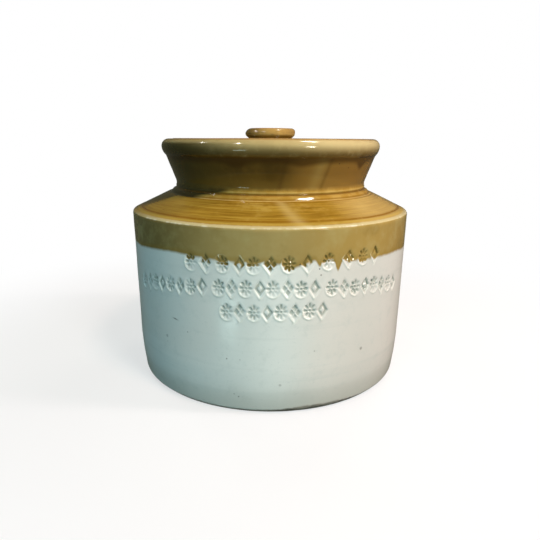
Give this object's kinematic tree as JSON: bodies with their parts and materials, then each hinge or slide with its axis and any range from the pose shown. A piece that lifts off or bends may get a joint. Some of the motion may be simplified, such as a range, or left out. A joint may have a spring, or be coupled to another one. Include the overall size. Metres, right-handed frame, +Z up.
{
  "type": "lidded stoneware jar",
  "caption": "Squat round stoneware storage jar with a sloping ringed shoulder, flared neck and thick rolled rim, and an inset flat lid with a button knob that lifts off.",
  "frame": {"origin": "centre of the base, on the plane that the jar stands on", "axes": "+Z up along the jar's axis of revolution, towards the knob; the jar is round, so +X and +Y are free, and the pictured side faces -Y"},
  "size_m": [0.1996, 0.1996, 0.1741],
  "materials": {
    "jar_body": "glossy two-colour glaze, ochre above and cream below",
    "lid_plate": "glossy ochre glaze with a bare rim and underside",
    "lid_knob": "glossy ochre glaze"
  },
  "bodies": {
    "jar": {"jar_body": "jar_body"},
    "lid": {"lid_plate": "lid_plate", "lid_knob": "lid_knob"}
  },
  "joints": [
    {"name": "lid_lift", "type": "slide", "parent": "jar", "child": "lid", "axis": [0, 0, 1], "range_m": [0, 0.2]}
  ]
}
